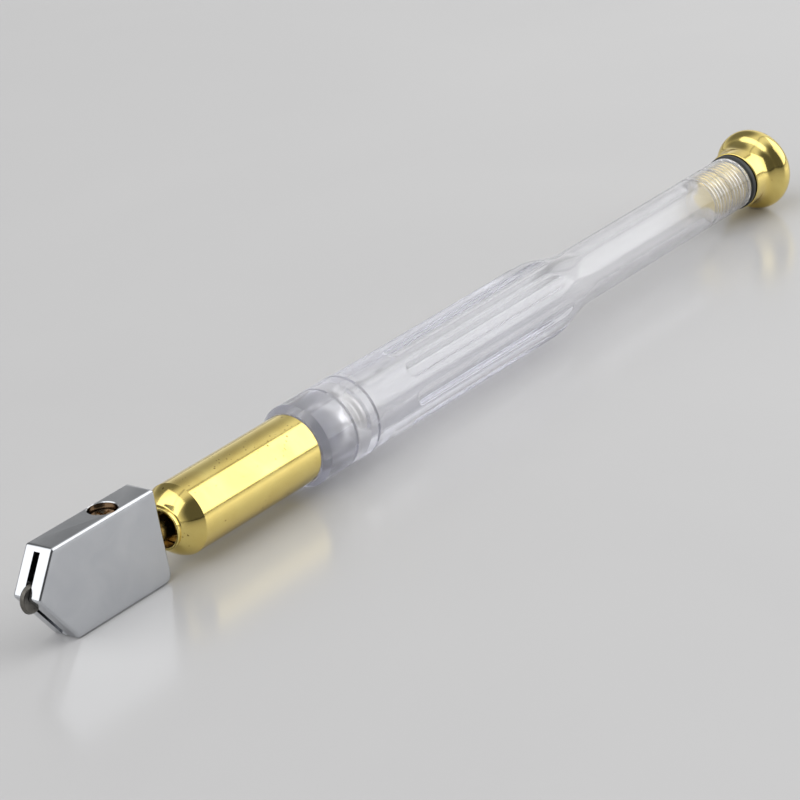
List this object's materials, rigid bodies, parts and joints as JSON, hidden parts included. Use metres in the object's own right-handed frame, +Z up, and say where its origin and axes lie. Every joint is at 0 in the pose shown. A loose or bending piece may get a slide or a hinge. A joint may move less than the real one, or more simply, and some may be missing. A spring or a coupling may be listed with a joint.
{
  "type": "oil-feed glass cutter",
  "caption": "Pencil-shaped glass cutter: chromed wheel head on a spring-loaded valve shaft, brass ferrule, clear fluted oil-reservoir handle and brass filler cap.",
  "frame": {"origin": "on the table plane, under the middle of the tool's length", "axes": "+X along the tool from the wheel towards the filler cap, +Y across the flat head, away from its blind side, +Z up"},
  "size_m": [0.1732, 0.0126, 0.0134],
  "materials": {
    "chromed_zinc": "bright chrome plate over a die-cast block, with fine machining marks on the faces",
    "polished_brass": "polished yellow brass with fine turning lines",
    "spring_steel": "plain drawn steel",
    "nickel_plate": "satin nickel plate",
    "tungsten_carbide": "ground dark grey carbide with a keen edge",
    "black_rubber": "smooth moulded nitrile rubber",
    "cotton_wick": "twisted cotton",
    "clear_acrylic": "clear polished plastic with a faint lavender tint"
  },
  "bodies": {
    "barrel": {"ferrule": "polished_brass", "shaft_bush": "polished_brass", "shaft_seal": "black_rubber", "return_spring": "spring_steel", "spring_washer": "spring_steel", "valve_seat": "polished_brass", "seat_gasket": "black_rubber", "ferrule_seal": "black_rubber", "barrel_nipple": "nickel_plate", "handle_barrel": "clear_acrylic"},
    "shaft": {"head_shaft": "polished_brass", "oil_wick": "cotton_wick", "valve_stem": "polished_brass", "valve_seal": "black_rubber"},
    "head": {"head_body": "chromed_zinc", "head_screw": "polished_brass", "wheel_axle": "spring_steel"},
    "wheel": {"cutting_wheel": "tungsten_carbide"},
    "cap_carrier": {"cap_washer": "black_rubber"},
    "cap": {"filler_cap": "polished_brass"}
  },
  "joints": [
    {"name": "valve_press", "type": "slide", "parent": "barrel", "child": "shaft", "axis": [1, 0, 0], "range_m": [0, 0.0009], "stiffness_N_per_m": 3000, "springref_m": -0.001, "deforming": ["return_spring"]},
    {"name": "head_swivel", "type": "hinge", "parent": "shaft", "child": "head", "pos_m": [-0.069, 0, 0.00628], "axis": [1, 0, 0], "range_deg": [-12, 12]},
    {"name": "wheel_spin", "type": "hinge", "parent": "head", "child": "wheel", "pos_m": [-0.08457, 0, 0.00738], "axis": [0, 1, 0], "continuous": true},
    {"name": "cap_lift", "type": "slide", "parent": "barrel", "child": "cap_carrier", "axis": [1, 0, 0], "range_m": [0, 0.0076]},
    {"name": "cap_turn", "type": "hinge", "parent": "cap_carrier", "child": "cap", "pos_m": [0.082, 0, 0.00628], "axis": [1, 0, 0], "range_deg": [0, 3420]}
  ],
  "couplings": [
    {"joint": "cap_lift", "follows": "cap_turn", "m_per_rad": 0.00012732}
  ]
}
